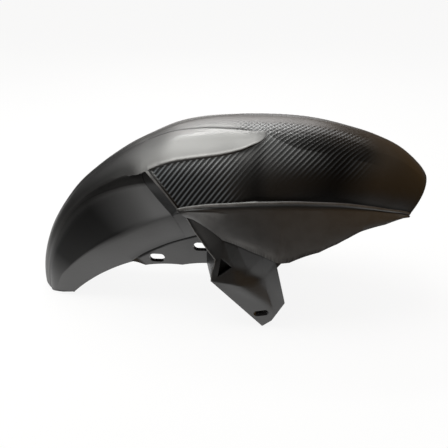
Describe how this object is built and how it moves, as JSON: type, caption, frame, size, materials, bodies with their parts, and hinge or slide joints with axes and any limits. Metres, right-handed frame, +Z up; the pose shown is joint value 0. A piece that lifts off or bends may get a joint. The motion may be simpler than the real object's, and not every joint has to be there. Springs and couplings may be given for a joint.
{
  "type": "motorcycle front mudguard",
  "caption": "Moulded front mudguard that arches over a motorcycle wheel, wide at the front, with ribbed side panels and slotted fork mounts.",
  "frame": {"origin": "centre of the bounding box in X and Y, on the floor that the rear corners and the leg guard tips stand on", "axes": "+X towards the nose, +Y towards the left-hand side, +Z up"},
  "size_m": [0.5082, 0.2284, 0.24],
  "materials": {
    "body": "satin, with a ribbed texture on the side panels and the front of the crown"
  },
  "bodies": {
    "root": {"mudguard": "body"}
  },
  "joints": []
}
